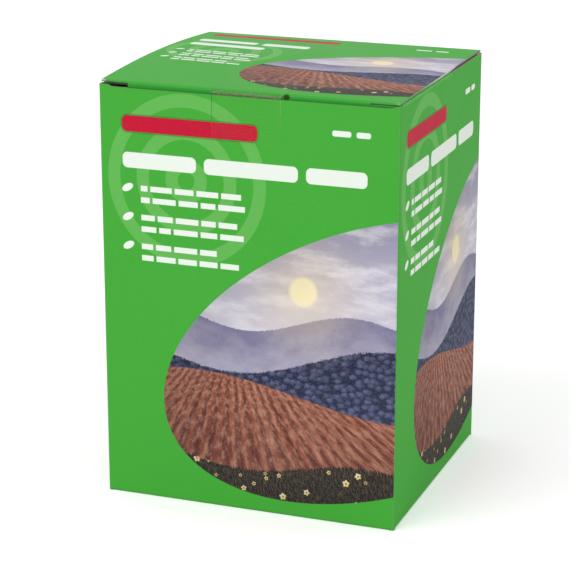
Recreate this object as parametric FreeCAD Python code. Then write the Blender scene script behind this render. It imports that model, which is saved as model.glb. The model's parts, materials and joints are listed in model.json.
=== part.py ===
# A tuck-top folding carton for a roll of gutter guard, closed and sealed with clear tape.
# Frame: origin on the floor under the middle of the box, X across the front panel,
# Y from the front panel to the rear one, Z up. All sizes are millimetres and degrees.
#
# The carton is one die-cut blank of board. Its parts are drawn as folded sections: a line along
# the outside face of the board that runs straight and folds, with the board on the inside of the
# folds. The walls, the glue flap and the glued bottom flaps keep their shape and are one solid.
# The lid with its tuck flap and the two dust flaps turn on their creases and are solids of their own.

import FreeCAD, Part
import os
from math import asin, atan, cos, degrees, radians, sin, sqrt

from FreeCAD import Vector

# Overall size, over the outside faces
width = 130.0
depth = 120.0
height = 181.0  # floor to the lid's crease

# Board and creases
board = 0.8
crease_inside_radius = 0.4
hinge_angle = 45.0  # a crease that turns is parted half-way round its bend

# Side seam, at the left rear corner
glue_flap_width = 16.0
glue_flap_end_cut = 4.0  # how much shorter the flap's free edge is, at each end
seam_gap = 0.4

# Bottom: two side flaps inside, and two outer flaps that meet across the middle
bottom_side_flap_length = 42.0
bottom_seam_gap = 0.4

# Lid and tuck flap
lid_crown = 1.2  # how far the sprung lid stands above its creases
lid_side_gap = 0.7
lid_rest_gap = 0.3
tuck_length = 20.0
tuck_gap = 0.3
tuck_end_inset = 1.6
tuck_corner_radius = 9.0
tuck_swing_gap = 0.5
lock_slit_length = 12.0
lock_slit_drop = 0.5

# Dust flaps
dust_flap_length = 46.0
dust_flap_front_gap = 4.0
dust_flap_rear_gap = 47.0
dust_flap_front_step = 5.0
dust_flap_rear_taper = 15.0
dust_flap_corner_radius = 5.0
dust_flap_cut = 0.4  # between the flap's crease and the wall behind it
side_wall_rise = 1.0  # how far that wall stands above the flap's crease

# Clear tape across the middle of the lid's front edge
tape_width = 30.0
tape_thickness = 0.1
tape_on_lid = 25.0
tape_on_front = 20.0
tape_gap = 0.04

# Levels and lines that the pieces share
fold_radius = crease_inside_radius + board
half_width = width / 2
half_depth = depth / 2
wall_foot = board + fold_radius  # where the side walls start to fold under
wall_head = height - board - lid_rest_gap - fold_radius  # where they start to fold over
wall_inset = fold_radius + board  # clear of the bends and the glue flap at both ends of a wall
tuck_face = -half_depth + board + tuck_gap
lid_front_centre = tuck_face + fold_radius
lid_rear_centre = half_depth - fold_radius
lid_fold_level = height - fold_radius
lid_span = lid_rear_centre - lid_front_centre
lid_slope = degrees(2 * atan(2 * lid_crown / lid_span))
crown_radius = lid_span / (2 * sin(radians(lid_slope))) + fold_radius
lid_half_width = half_width - lid_side_gap
hinge_reach = fold_radius * cos(radians(hinge_angle))
lid_hinge_line = (lid_rear_centre + hinge_reach, lid_fold_level + hinge_reach)
dust_hinge_line = (half_width - fold_radius + hinge_reach, wall_head + hinge_reach)
dust_flap_front = -half_depth + dust_flap_front_gap
dust_flap_rear = half_depth - dust_flap_rear_gap


def run(length):
    # A straight stretch of a folded section.
    return ("run", length, 0.0)


def fold(radius, angle):
    # A bend of a folded section, measured on its outside face.
    return ("fold", radius, angle)


def heading_vector(angle):
    return (cos(radians(angle)), sin(radians(angle)))


def folded_section(plane, start, heading, side, steps, thickness=board):
    # The face between a path of runs and folds and the same path moved inwards by the thickness.
    # side is 1 where the folds turn left of the heading, and -1 where they turn right.
    def inward(point, angle, distance):
        across = heading_vector(angle + 90 * side)
        return (point[0] + across[0] * distance, point[1] + across[1] * distance)

    outer_edges = []
    inner_edges = []
    point = start
    first = (start, inward(start, heading, thickness))
    for kind, size, angle in steps:
        if kind == "run":
            forward = heading_vector(heading)
            finish = (point[0] + forward[0] * size, point[1] + forward[1] * size)
            inner = [inward(p, heading, thickness) for p in (point, finish)]
            outer_edges.append(Part.LineSegment(plane(*point), plane(*finish)).toShape())
            inner_edges.append(Part.LineSegment(plane(*inner[0]), plane(*inner[1])).toShape())
        else:
            centre = inward(point, heading, size)
            headings = [heading + side * angle * share for share in (0, 0.5, 1)]
            outer = [inward(centre, turned, -size) for turned in headings]
            inner = [inward(centre, turned, thickness - size) for turned in headings]
            outer_edges.append(Part.Arc(*[plane(*p) for p in outer]).toShape())
            inner_edges.append(Part.Arc(*[plane(*p) for p in inner]).toShape())
            finish = outer[2]
            heading = headings[2]
        point = finish
    last = (point, inward(point, heading, thickness))
    caps = [Part.LineSegment(plane(*a), plane(*b)).toShape() for a, b in (first, last)]
    wire = Part.Wire(Part.__sortEdges__(outer_edges + inner_edges + caps))
    return Part.Face(wire)


def outline_face(plane, points, rounded):
    # A flat outline. rounded maps a point's index to the radius of its corner.
    corners = []
    count = len(points)
    for index, here in enumerate(points):
        radius = rounded.get(index, 0.0)
        here = Vector(*here, 0)
        before = (Vector(*points[index - 1], 0) - here).normalize()
        after = (Vector(*points[(index + 1) % count], 0) - here).normalize()
        half_angle = before.getAngle(after) / 2
        setback = radius / (sin(half_angle) / cos(half_angle))
        towards = (before + after).normalize()
        middle = here + towards * (radius / sin(half_angle) - radius)
        corners.append((here + before * setback, middle, here + after * setback, radius))
    edges = []
    for index, (begin, middle, end, radius) in enumerate(corners):
        if radius:
            edges.append(Part.Arc(*[plane(p.x, p.y) for p in (begin, middle, end)]).toShape())
        following = corners[(index + 1) % count][0]
        edges.append(Part.LineSegment(plane(end.x, end.y), plane(following.x, following.y)).toShape())
    return Part.Face(Part.Wire(edges))


def plan(level):
    return lambda x, y: Vector(x, y, level)


def side_view(across):
    return lambda y, z: Vector(across, y, z)


def front_view(along):
    return lambda x, z: Vector(x, along, z)


def across_width(face, length):
    return face.extrude(Vector(length, 0, 0))


def along_depth(face, length):
    return face.extrude(Vector(0, length, 0))


def mirrored(shape):
    # The same piece on the other side of the box, left for right.
    return shape.mirror(Vector(0, 0, 0), Vector(1, 0, 0))


def fused(shapes):
    return shapes[0].multiFuse(shapes[1:]).removeSplitter()


# Carton: walls, glue flap, bottom flaps and the standing halves of the top creases


def walls():
    # Rear, right and front walls in one folded section from the seam's bend, and the left wall.
    tall = Vector(0, 0, wall_head - wall_foot)
    corner = fold(fold_radius, 90)
    around = folded_section(
        plan(wall_foot),
        (-half_width + board, half_depth - fold_radius),
        90,
        -1,
        [
            corner,
            run(width - board - 2 * fold_radius),
            corner,
            run(depth - 2 * fold_radius),
            corner,
            run(width - 2 * fold_radius),
            corner,
        ],
    )
    left_start = (-half_width, -half_depth + fold_radius)
    left_run = run(depth - 2 * fold_radius - seam_gap)
    left = folded_section(plan(wall_foot), left_start, 90, -1, [left_run])
    return [around.extrude(tall), left.extrude(tall)]


def glue_flap():
    # Carried on from the seam's bend, flat against the inside of the left wall, with its ends cut back.
    bend = half_depth - fold_radius
    edge = bend - glue_flap_width
    points = [
        (bend, wall_foot),
        (bend, wall_head),
        (edge, wall_head - glue_flap_end_cut),
        (edge, wall_foot + glue_flap_end_cut),
    ]
    return across_width(outline_face(side_view(-half_width + board), points, {}), board)


def bottom_outer_flap():
    # The foot of the front wall, folded under, and its flap as far as the middle seam.
    steps = [
        run(wall_foot - fold_radius),
        fold(fold_radius, 90),
        run(half_depth - fold_radius - bottom_seam_gap / 2),
    ]
    face = folded_section(side_view(-half_width + wall_inset), (-half_depth, wall_foot), -90, 1, steps)
    return across_width(face, width - 2 * wall_inset)


def bottom_side_flap():
    # The foot of the right wall, folded in above the outer flaps.
    steps = [fold(fold_radius, 90), run(bottom_side_flap_length)]
    face = folded_section(front_view(-half_depth + wall_inset), (half_width, wall_foot), -90, -1, steps)
    return along_depth(face, depth - 2 * wall_inset)


def rear_crease():
    # The head of the rear wall and the half of the lid's crease that stays with it.
    steps = [run(lid_fold_level - wall_head), fold(fold_radius, hinge_angle)]
    face = folded_section(side_view(-half_width + wall_inset), (half_depth, wall_head), 90, 1, steps)
    return across_width(face, width - 2 * wall_inset)


def dust_crease():
    # The half of the right dust flap's crease that stays with the wall.
    steps = [fold(fold_radius, hinge_angle)]
    face = folded_section(front_view(dust_flap_front), (half_width, wall_head), 90, 1, steps)
    return along_depth(face, dust_flap_rear - dust_flap_front)


def side_wall_head():
    # Behind the dust flap the right wall isn't folded, and its cut edge stands up nearly to the lid.
    start = dust_flap_rear + dust_flap_cut
    size = (board, half_depth - wall_inset - start, side_wall_rise)
    return Part.makeBox(*size, Vector(half_width - board, start, wall_head))


def carton():
    front_flap = bottom_outer_flap()
    rear_flap = front_flap.mirror(Vector(0, 0, 0), Vector(0, 1, 0))
    pieces = walls() + [glue_flap(), front_flap, rear_flap, rear_crease()]
    for side_piece in (bottom_side_flap(), dust_crease(), side_wall_head()):
        pieces += [side_piece, mirrored(side_piece)]
    return fused(pieces)


# Lid: crowned panel, front crease with its lock slits, and tuck flap


def tuck_lean():
    # The tuck flap leans in just enough for its tip to swing past the front wall as the lid opens.
    reach = lid_hinge_line[0] - tuck_face
    drop = lid_hinge_line[1] - lid_fold_level + tuck_length
    clear_reach = sqrt((reach + tuck_gap - tuck_swing_gap) ** 2 - drop**2)
    return degrees(asin((reach - clear_reach) / tuck_length))


def lid_panel(lean):
    steps = [
        fold(fold_radius, hinge_angle - lid_slope),
        fold(crown_radius, 2 * lid_slope),
        fold(fold_radius, 90 - lid_slope + lean),
    ]
    face = folded_section(side_view(-lid_half_width), lid_hinge_line, 90 + hinge_angle, 1, steps)
    return across_width(face, 2 * lid_half_width)


def tuck_flap(lean):
    # A flat flap with rounded corners, hung from the end of the lid's front fold.
    half = lid_half_width - tuck_end_inset
    points = [(-half, 0), (half, 0), (half, -tuck_length), (-half, -tuck_length)]
    face = outline_face(front_view(0), points, {2: tuck_corner_radius, 3: tuck_corner_radius})
    flap = along_depth(face, board)
    flap.rotate(Vector(0, 0, 0), Vector(1, 0, 0), lean)
    fold_end = heading_vector(180 + lean)
    flap.translate(
        Vector(0, lid_front_centre + fold_radius * fold_end[0], lid_fold_level + fold_radius * fold_end[1])
    )
    return flap


def lock_slit(panel_top):
    # The crease is slit at each end, so the lid keeps a straight cut edge there.
    low = lid_fold_level - lock_slit_drop
    size = (lock_slit_length, lid_front_centre - tuck_face + board, panel_top - low)
    corner = Vector(lid_half_width - lock_slit_length, tuck_face - board, low)
    return Part.makeBox(*size, corner)


def lid():
    lean = tuck_lean()
    panel = lid_panel(lean)
    folded = fused([panel, tuck_flap(lean)])
    slit = lock_slit(panel.BoundBox.ZMax + board)
    return folded.cut(slit).cut(mirrored(slit)).removeSplitter()


# Dust flaps


def dust_flap():
    # The right flap: square where it meets the lock slit, cut back towards the rear.
    steps = [fold(fold_radius, 90 - hinge_angle), run(dust_flap_length)]
    face = folded_section(front_view(dust_flap_front), dust_hinge_line, 90 + hinge_angle, 1, steps)
    blank = along_depth(face, dust_flap_rear - dust_flap_front)
    crease = half_width - fold_radius
    tip = crease - dust_flap_length
    taper = dust_flap_length * sin(radians(dust_flap_rear_taper)) / cos(radians(dust_flap_rear_taper))
    points = [
        (half_width, dust_flap_front),
        (half_width, dust_flap_rear),
        (crease, dust_flap_rear),
        (tip, dust_flap_rear - taper),
        (tip, dust_flap_front + dust_flap_front_step),
        (tip + dust_flap_front_step, dust_flap_front),
    ]
    rounded = {3: dust_flap_corner_radius}
    outline = outline_face(plan(wall_head - board), points, rounded)
    return blank.common(outline.extrude(Vector(0, 0, height - wall_head + board)))


# Clear tape


def closing_tape():
    # Film from the lid's crown, over its front fold and down the face of the front wall.
    slope = radians(lid_slope)
    lid_edge = (lid_front_centre - fold_radius * sin(slope), lid_fold_level + fold_radius * cos(slope))
    film = tape_gap + tape_thickness
    bridge_radius = (lid_edge[0] + half_depth + tape_gap) / (1 - sin(slope)) + tape_thickness
    film_radius = crown_radius + film
    crown_centre = (lid_edge[0] + crown_radius * sin(slope), lid_edge[1] - crown_radius * cos(slope))
    sweep = degrees(tape_on_lid / film_radius)
    start_angle = 90 + lid_slope - sweep
    outward = heading_vector(start_angle)
    start = (crown_centre[0] + film_radius * outward[0], crown_centre[1] + film_radius * outward[1])
    steps = [fold(film_radius, sweep), fold(bridge_radius, 90 - lid_slope), run(tape_on_front)]
    face = folded_section(side_view(-tape_width / 2), start, start_angle + 90, 1, steps, tape_thickness)
    return across_width(face, tape_width)


def main():
    os.makedirs("parts", exist_ok=True)
    right_flap = dust_flap()
    pieces = {
        "carton": carton(),
        "lid": lid(),
        "dust_flap_right": right_flap,
        "dust_flap_left": mirrored(right_flap),
        "closing_tape": closing_tape(),
    }
    for name, shape in pieces.items():
        box = shape.BoundBox
        print(
            f"{name}: valid {shape.isValid()}, solids {len(shape.Solids)}, volume {shape.Volume:.1f}, "
            f"x {box.XMin:.2f} {box.XMax:.2f}, y {box.YMin:.2f} {box.YMax:.2f}, z {box.ZMin:.2f} {box.ZMax:.2f}"
        )
        shape.exportStep(f"parts/{name}.step")
    print(f"lid hinge {lid_hinge_line}, dust hinge {dust_hinge_line}, tuck lean {tuck_lean():.2f}")


main()
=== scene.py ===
import functools
import json
import math

import bpy
import numpy as np
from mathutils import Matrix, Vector


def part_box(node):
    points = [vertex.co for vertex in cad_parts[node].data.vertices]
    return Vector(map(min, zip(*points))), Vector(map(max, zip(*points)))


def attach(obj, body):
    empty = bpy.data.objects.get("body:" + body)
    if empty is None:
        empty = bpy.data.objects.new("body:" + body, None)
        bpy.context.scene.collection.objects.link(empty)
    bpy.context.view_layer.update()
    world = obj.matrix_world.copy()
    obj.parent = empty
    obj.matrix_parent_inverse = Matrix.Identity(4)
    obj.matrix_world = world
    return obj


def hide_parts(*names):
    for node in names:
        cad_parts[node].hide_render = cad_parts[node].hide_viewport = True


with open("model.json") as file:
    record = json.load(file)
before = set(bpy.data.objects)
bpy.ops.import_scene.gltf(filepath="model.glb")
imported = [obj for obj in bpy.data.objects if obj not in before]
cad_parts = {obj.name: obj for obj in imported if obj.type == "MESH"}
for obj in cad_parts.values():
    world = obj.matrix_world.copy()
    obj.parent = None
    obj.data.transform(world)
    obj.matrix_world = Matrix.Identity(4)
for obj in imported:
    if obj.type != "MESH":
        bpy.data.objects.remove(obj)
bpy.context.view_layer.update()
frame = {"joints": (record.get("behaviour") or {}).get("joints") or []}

mm = 0.001

# Sizes that come with the frame
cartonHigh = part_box("carton")[1]
lidLow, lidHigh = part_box("lid")
flapLow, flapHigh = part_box("dust_flap_right")
tapeLow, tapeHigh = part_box("closing_tape")
hingeAt = {joint["name"]: joint["pos_m"] for joint in frame["joints"]}
halfWidth = cartonHigh.x
halfDepth = cartonHigh.y

stock = {
    "board": 0.8 * mm,
    "fold": 1.2 * mm,  # outside radius of a crease
    "hingeTurn": 45.0,  # degrees of a crease that stay with the wall
    "span": 8.0 * mm,  # between the lines of points on a panel,
    "besideFold": (0.4 * mm, 1.2 * mm, 3.0 * mm),  # with closer ones beside its folds
    "sharp": 40.0,  # degrees from which an edge is sharp
}
board = stock["board"]
foldRadius = stock["fold"]
hingeTurn = math.radians(stock["hingeTurn"])
hingeArc = foldRadius * hingeTurn
hingeReach = foldRadius * math.sin(hingeTurn)
lidFold = hingeAt["lid_hinge"][2] - hingeReach  # level where the rear wall starts to fold over
wallHead = hingeAt["right_dust_flap_hinge"][2] - hingeReach  # level where the side walls do
lidRear = hingeAt["lid_hinge"][1] - hingeReach
lidFront = lidLow.y + foldRadius
creaseHeight = lidFold + foldRadius
print("frame read:", round(2 * halfWidth, 4), round(2 * halfDepth, 4), round(creaseHeight, 4))


# Folded board


def evenly(count):
    # Shares of a stretch, cut into equal spans.
    return np.linspace(0, 1, count + 1)[1:]


def panelShares(length, marks=(), step=stock["span"]):
    # Shares of a flat stretch: even spans, short spans beside the folds, and cuts at the marks.
    beside = np.array(stock["besideFold"])
    even = np.linspace(0, length, int(length / step) + 2)
    places = np.concatenate([even, beside, length - beside, np.asarray(marks, float)])
    places = np.unique(np.round(places[(places > 0) & (places <= length)], 7))  # alike to 0.1 micrometre
    return places / length


def foldedLine(start, heading, side, steps):
    # A folded line: runs go straight on, folds turn along an arc, left for side 1 and right for -1.
    # Gives its points, its unit normals on the outside of the folds, and the length along it.
    at = np.array(start, float)
    turned = math.radians(heading)
    points = [at[None]]
    normals = [side * np.array([[math.sin(turned), -math.cos(turned)]])]
    lengths = [np.zeros(1)]
    for kind, size, shares, *radius in steps:
        if kind == "run":
            ahead = np.array([math.cos(turned), math.sin(turned)])
            points.append(at + size * shares[:, None] * ahead)
            normals.append(np.repeat(normals[-1][-1:], len(shares), 0))
            lengths.append(lengths[-1][-1] + size * shares)
        else:
            angles = turned + side * math.radians(size) * shares
            outward = side * np.stack([np.sin(angles), -np.cos(angles)], 1)
            points.append(at + radius[0] * (outward - normals[-1][-1]))
            normals.append(outward)
            lengths.append(lengths[-1][-1] + radius[0] * math.radians(size) * shares)
            turned = angles[-1]
        at = points[-1][-1]
    return np.concatenate(points), np.concatenate(normals), np.concatenate(lengths)


def roundedBack(radius, toTip):
    # How far an edge with a round corner stands back, this far from the tip.
    return radius - np.sqrt(radius**2 - np.clip(radius - toTip, 0, radius) ** 2)


def pointGrid(x, y, z):
    # Points from three arrays, each spread over all rows and columns.
    return np.stack(np.broadcast_arrays(x, y, z), -1)


def boardPiece(name, grid, kept, maps, finishes, thickness, flipped=False):
    # A sheet from a grid of points on its outside face (rows, columns, 3). kept says which cells are board,
    # maps gives print coordinates for each cell's corners, and the thickness goes inwards.
    rows, columns = grid.shape[:2]
    index = np.arange(rows * columns).reshape(rows, columns)
    cells = np.stack([index[:-1, :-1], index[:-1, 1:], index[1:, 1:], index[1:, :-1]], -1)[kept]
    if flipped:
        cells = cells[:, ::-1]
    used, faces = np.unique(cells, return_inverse=True)
    mesh = bpy.data.meshes.new(name)
    mesh.from_pydata(grid.reshape(-1, 3)[used].tolist(), [], faces.reshape(-1, 4).tolist())
    for layer, places in maps.items():
        corners = places[kept][:, ::-1] if flipped else places[kept]
        mesh.uv_layers.new(name=layer).data.foreach_set("uv", corners.astype(np.float32).ravel())
    mesh.polygons.foreach_set("use_smooth", np.ones(len(mesh.polygons), bool))
    for finish in finishes:
        mesh.materials.append(finish)
    piece = bpy.data.objects.new(name, mesh)
    bpy.context.scene.collection.objects.link(piece)
    wall = piece.modifiers.new("board", "SOLIDIFY")
    wall.thickness = thickness
    wall.offset = -1
    wall.use_even_offset = True
    wall.use_quality_normals = True
    if len(finishes) > 1:
        wall.material_offset = 1
        wall.material_offset_rim = 2
    bpy.context.view_layer.update()
    solid = bpy.data.meshes.new_from_object(piece.evaluated_get(bpy.context.evaluated_depsgraph_get()))
    piece.modifiers.clear()
    piece.data = solid
    solid.name = name
    solid.set_sharp_from_angle(angle=math.radians(stock["sharp"]))
    print("piece", name, len(solid.polygons), "faces")
    return piece


def cellCorners(values):
    # Values on a grid, gathered for the four corners of each cell.
    return np.stack([values[:-1, :-1], values[:-1, 1:], values[1:, 1:], values[1:, :-1]], -1)


# Materials


class Term:
    # A number inside a material, so that a pattern can be written as a formula.

    def __init__(self, paint, socket):
        self.paint = paint
        self.socket = socket

    def math(self, operation, *others):
        node = self.paint.tree.nodes.new("ShaderNodeMath")
        node.operation = operation
        for socket, value in zip(node.inputs, (self, *others)):
            self.paint.feed(socket, value)
        return Term(self.paint, node.outputs[0])

    def __add__(self, other):
        return self.math("ADD", other)

    def __sub__(self, other):
        return self.math("SUBTRACT", other)

    def __mul__(self, other):
        return self.math("MULTIPLY", other)

    def __truediv__(self, other):
        return self.math("DIVIDE", other)

    def size(self):
        return self.math("ABSOLUTE")

    def least(self, other):
        return self.math("MINIMUM", other)

    def most(self, other):
        return self.math("MAXIMUM", other)

    def sine(self):
        return self.math("SINE")

    def cycle(self, period):
        # The distance from the middle of the nearest of a row of equal periods.
        return self.math("FLOORED_MODULO", period) - period / 2

    def below(self, edge=0.0, soft=0.12):
        # 1 where the number is under the edge and 0 above it, with a step that is soft this far both ways.
        node = self.paint.tree.nodes.new("ShaderNodeMapRange")
        node.interpolation_type = "SMOOTHSTEP"
        for name, value in (("Value", self), ("From Min", edge - soft), ("From Max", edge + soft)):
            self.paint.feed(node.inputs[name], value)
        node.inputs["To Min"].default_value = 1.0
        node.inputs["To Max"].default_value = 0.0
        return Term(self.paint, node.outputs[0])

    def above(self, edge=0.0, soft=0.12):
        return (self * -1).below(-edge, soft)

    def share(self, start, end):
        # 0 at the start, 1 at the end and beyond, even between.
        node = self.paint.tree.nodes.new("ShaderNodeMapRange")
        for name, value in (("Value", self), ("From Min", start), ("From Max", end)):
            self.paint.feed(node.inputs[name], value)
        return Term(self.paint, node.outputs[0])


def ink(code):
    # A colour written as six hex digits, as it looks on the page, in linear light.
    shown = np.array([int(code[i:i + 2], 16) for i in (0, 2, 4)]) / 255
    linear = np.where(shown <= 0.04045, shown / 12.92, ((shown + 0.055) / 1.055) ** 2.4)
    return (*linear.tolist(), 1.0)


class Paint:
    # A material's node tree, with the few moves that the finishes here need.

    def __init__(self, name):
        self.material = bpy.data.materials.new(name)
        self.material.use_nodes = True
        self.tree = self.material.node_tree
        self.tree.nodes.clear()
        self.shader = self.tree.nodes.new("ShaderNodeBsdfPrincipled")
        output = self.tree.nodes.new("ShaderNodeOutputMaterial")
        self.tree.links.new(self.shader.outputs[0], output.inputs[0])

    def feed(self, socket, value):
        # A pattern is linked. A number or colour is set on the socket itself, an ink by its digits.
        if isinstance(value, str):
            value = ink(value)
        if isinstance(value, Term):
            value = value.socket
        if isinstance(value, bpy.types.NodeSocket):
            self.tree.links.new(value, socket)
        else:
            socket.default_value = value

    def surface(self, sockets):
        for name, value in sockets.items():
            self.feed(self.shader.inputs[name], value)

    def place(self, unit):
        # Object coordinates in the given unit.
        coordinates = self.tree.nodes.new("ShaderNodeTexCoord")
        scaled = self.tree.nodes.new("ShaderNodeVectorMath")
        scaled.operation = "SCALE"
        scaled.inputs["Scale"].default_value = 1 / unit
        self.tree.links.new(coordinates.outputs["Object"], scaled.inputs[0])
        return scaled.outputs[0]

    def printPlace(self, layer, across, up):
        # The place on the printed panel, in millimetres from its lower left corner.
        panel = self.tree.nodes.new("ShaderNodeUVMap")
        panel.uv_map = layer
        u, v, _ = self.parts(panel.outputs[0])
        return u * across, v * up

    def parts(self, vector):
        node = self.tree.nodes.new("ShaderNodeSeparateXYZ")
        self.tree.links.new(vector, node.inputs[0])
        return [Term(self, socket) for socket in node.outputs]

    def spot(self, x, y):
        node = self.tree.nodes.new("ShaderNodeCombineXYZ")
        self.feed(node.inputs[0], x)
        self.feed(node.inputs[1], y)
        return node.outputs[0]

    def cells(self, x, y, pitch):
        # Scattered cells: the distance from the nearest seed and the way from it, both in pitches,
        # and a random number for each cell.
        node = self.tree.nodes.new("ShaderNodeTexVoronoi")
        node.voronoi_dimensions = "2D"
        self.tree.links.new(self.spot(x, y), node.inputs["Vector"])
        node.inputs["Scale"].default_value = 1 / pitch
        chance = self.tree.nodes.new("ShaderNodeSeparateColor")
        self.tree.links.new(node.outputs["Color"], chance.inputs[0])
        seedX, seedY, _ = self.parts(node.outputs["Position"])
        way = ((x - seedX) / pitch, (y - seedY) / pitch)
        return Term(self, node.outputs["Distance"]), way, Term(self, chance.outputs[0])

    def noise(self, where, scale, detail=3.0, rough=0.5):
        # Soft noise around 0.5.
        node = self.tree.nodes.new("ShaderNodeTexNoise")
        self.tree.links.new(where, node.inputs["Vector"])
        node.inputs["Scale"].default_value = scale
        node.inputs["Detail"].default_value = detail
        node.inputs["Roughness"].default_value = rough
        return Term(self, node.outputs[0])

    def scatter(self, seed):
        # A fixed random number from 0 to 1 for each whole number.
        node = self.tree.nodes.new("ShaderNodeTexWhiteNoise")
        node.noise_dimensions = "1D"
        self.feed(node.inputs["W"], seed)
        return Term(self, node.outputs["Value"])

    def over(self, under, amount, top):
        # The top colour laid over the colour under it.
        node = self.tree.nodes.new("ShaderNodeMix")
        node.data_type = "RGBA"
        self.feed(node.inputs["Factor"], amount)
        self.feed(node.inputs[6], under)
        self.feed(node.inputs[7], top)
        return node.outputs[2]

    def bump(self, height, distance, strength):
        node = self.tree.nodes.new("ShaderNodeBump")
        self.feed(node.inputs["Height"], height)
        node.inputs["Distance"].default_value = distance
        node.inputs["Strength"].default_value = strength
        self.tree.links.new(node.outputs[0], self.shader.inputs["Normal"])


def barDistance(x, y, centre, size, corner):
    # Distance from a bar with rounded corners, negative inside.
    dx = ((x - centre[0]).size() - (size[0] / 2 - corner)).most(0)
    dy = ((y - centre[1]).size() - (size[1] / 2 - corner)).most(0)
    return (dx * dx + dy * dy).math("SQRT") - corner


def ovalDistance(x, y, centre, halves, tilt):
    # Rough distance from a tilted oval, negative inside.
    c, s = math.cos(math.radians(tilt)), math.sin(math.radians(tilt))
    dx, dy = x - centre[0], y - centre[1]
    along = (dx * c + dy * s) / halves[0]
    across = (dy * c - dx * s) / halves[1]
    return ((along * along + across * across).math("SQRT") - 1) * min(halves)


# The print is laid out on the front panel in millimetres, and the other walls stretch it to fit.
# The lid's bars stand two panels further right.
layout = {
    "panel": (130.0, 176.0),
    "lidFrom": 260.0,
    "lidTop": 208.3,
    "plainAt": -1.0,  # print coordinate, as a share of the panel, of what has no print,
    "rubbedAt": 2.0,  # and of creases that are rubbed pale
    "green": "46ac3b",
    "paleGreen": "54b24a",
    "creaseGreen": "349a37",
    "creaseLevels": (-12.0, -3.0),  # between these print levels the lid's front crease gets painted shade
    "rings": {"ink": "66b957", "centre": (38.5, 138.0), "spacing": 13.0, "band": 5.5, "reach": 36.0},
    "white": "eef6ec",
    "red": "c71a39",
    "redShade": "2f7a2c",
    # rows of plain bars: each has its level, height and corner, and the centre and length of its bars
    "redRows": [
        {"level": 159.6, "height": 6.6, "corner": 2.2, "bars": [(40.0, 60.0)]},
        {"level": 193.3, "height": 7.6, "corner": 2.4, "bars": [(311.7, 84.0)]},
    ],
    "whiteRows": [
        {"level": 144.6, "height": 6.4, "corner": 2.2, "bars": [(26.5, 33.0), (67.0, 41.0), (104.0, 26.0)]},
        {"level": 162.4, "height": 2.3, "corner": 0.9, "bars": [(106.0, 8.0), (115.2, 6.0)]},
        {"level": 169.4, "height": 8.0, "corner": 2.4, "bars": [(289.0, 38.0), (327.0, 30.0)]},
        {"level": 154.6, "height": 8.0, "corner": 2.4, "bars": [(294.0, 48.0)]},
        {"level": 191.8, "height": 2.8, "corner": 1.0, "bars": [(408.5, 10.0), (420.0, 8.0)]},
    ],
    "bullets": {
        "left": 12.0, "foot": 100.6, "pitch": 12.1, "count": 3, "halves": (2.7, 1.45), "tilt": 28.0,
    },
    "lines": {
        "from": 18.0, "height": 2.3, "levels": (3.6, 8.4), "pitch": 10.0, "gap": 1.3, "cuts": (3.0, 7.0),
        "fewest": 3, "lengths": 2,  # whole pitches in the shortest row, and how many lengths there are
        "seeds": (7, 31, 3),  # for pitches, rows and ends
    },
}

# The oval holds a plain landscape: hills, a ploughed field, a flower bank and a low sun.
# A wave is given by its level, swing, stretch and start, a noise by its scale, detail and roughness,
# and an edge by its place and softness.
picture = {
    "oval": {"centre": (119.0, 69.0), "halves": (97.0, 54.7), "tilt": 22.4},
    "shade": {"ink": "1f1b26", "width": 20.0, "share": 0.22},  # darker towards its rim
    "paper": {"ink": "efe9ea", "from": 0.45, "share": 0.16},
    "sky": {"low": "d0cbd8", "high": "9d99b4", "levels": (78.0, 130.0)},
    "cloud": {
        "ink": "ebe7ef", "noise": (0.1, 5.0, 0.6), "stretch": 0.35, "edge": (0.54, 0.12), "share": 0.8,
    },
    "sun": {"ink": "fff4cc", "centre": (90.0, 97.0), "radius": 6.0, "soft": 1.1},
    "glow": {"ink": "f4dfae", "reach": 30.0, "share": 0.3},
    "farHill": {"ink": "7f7b9c", "haze": "b9b4c6", "wave": (84.0, 5.0, 15.0, 0.4), "ragged": 1.4},
    "midHill": {"ink": "2e3450", "haze": "4d5272", "wave": (69.0, 8.0, 23.0, 2.2), "ragged": 2.4},
    "field": {"ink": "a25c48", "haze": "86473a", "wave": (53.0, 7.0, 30.0, 0.2), "ragged": 1.6},
    "bank": {"ink": "322b2a", "haze": "201c1f", "wave": (24.0, 3.5, 17.0, 1.0)},
    "haze": {"fall": 26.0, "noise": (0.07, 5.0, 0.6), "flat": 1.6, "share": 1.4, "soft": 0.2},
    "light": {"from": (0.6, 0.8), "reach": (-0.4, 0.45)},  # how much from the left and from above
    "trees": {
        "ink": "747a9e", "shade": "262b43", "pitch": 3.2, "flat": 1.3,
        "leaves": (1.1, 4.0, 0.7), "ragged": 3.0,
        "gap": (0.3, 0.25), "gapShare": 0.8, "crown": (0.45, 0.25), "least": 0.2, "more": 0.7,
    },
    "furrows": {
        "ink": "5a3029", "crumb": "cf9a80", "meet": (58.0, 84.0), "spread": 0.115, "rowShare": 0.3,
        "groove": (0.24, 0.16), "grooveShare": 0.75,
        "clods": (1.0, 5.0, 0.65), "clodsAcross": 2.4, "clodsAlong": 500.0,
        "dry": (0.56, 0.12), "dryShare": 0.55, "damp": (0.42, 0.1), "dampShare": 0.5,
    },
    "grass": {
        "ink": "6f6a45", "lean": 0.25, "height": 5.0, "blades": (1.0, 3.0, 0.6), "spread": (2.2, 0.35),
        "pale": (0.56, 0.1), "paleShare": 0.6,
    },
    "flowers": {
        "ink": "e3bf52", "light": "fff7da", "heart": "8a5a1c", "pitch": 5.6, "share": 0.5, "petals": 5,
        "turn": 40.0, "lobe": 0.04, "least": 0.1, "more": 0.3, "soft": 0.04, "middle": (0.07, 0.03),
    },
}


def hillLine(x, hill):
    level, swing, stretch, start = hill["wave"]
    return (x / stretch + start).sine() * swing + level


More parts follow.
